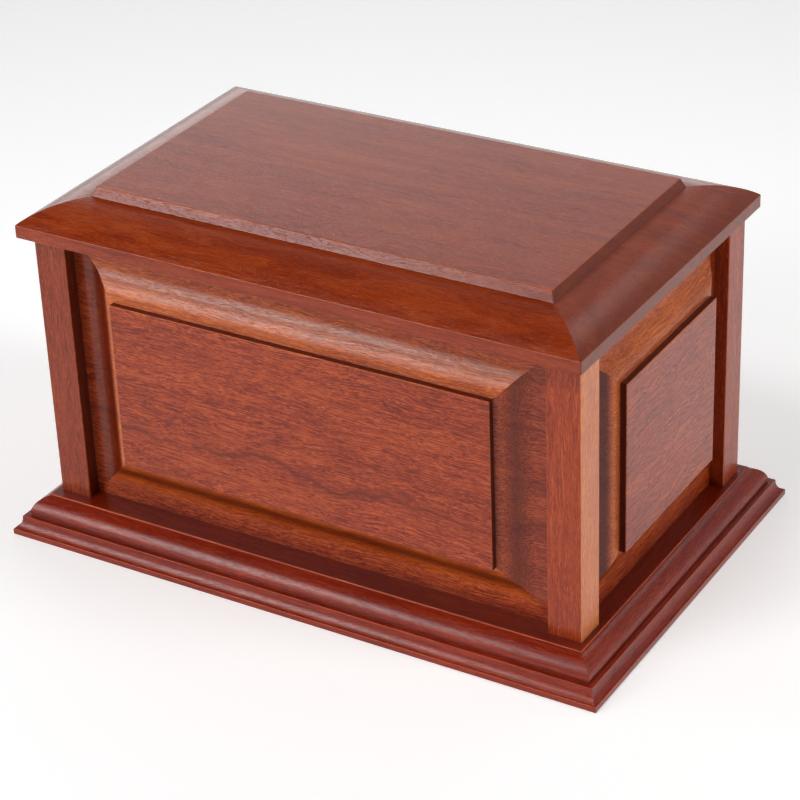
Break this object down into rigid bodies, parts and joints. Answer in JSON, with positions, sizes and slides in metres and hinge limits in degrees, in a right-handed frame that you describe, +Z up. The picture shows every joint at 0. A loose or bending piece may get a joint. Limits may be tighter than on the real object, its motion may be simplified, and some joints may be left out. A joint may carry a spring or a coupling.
{
  "type": "cremation urn box",
  "caption": "Wooden cremation urn box with a lift-off raised lid, square corner posts, raised and fielded panels and a moulded base, hollow inside.",
  "frame": {"origin": "centre of the underside of the base", "axes": "+X along the long front, to the right when facing it; -Y out of the front panel; +Z up"},
  "size_m": [0.286, 0.1846, 0.1604],
  "materials": {
    "moulding": "red-brown stained solid timber, satin-gloss lacquer, grain along each length",
    "floor": "red-brown stained board, thin satin lacquer",
    "post": "red-brown stained solid timber, satin-gloss lacquer, upright grain",
    "panel": "red-brown stained solid timber, satin-gloss lacquer, level grain",
    "lid": "red-brown stained solid timber, satin-gloss lacquer, grain along its length"
  },
  "bodies": {
    "root": {"base_moulding_front": "moulding", "base_moulding_back": "moulding", "base_moulding_left": "moulding", "base_moulding_right": "moulding", "floor_board": "floor", "post_front_left": "post", "post_front_right": "post", "post_back_left": "post", "post_back_right": "post", "panel_front": "panel", "panel_back": "panel", "panel_left": "panel", "panel_right": "panel", "lid": "lid"}
  },
  "joints": []
}
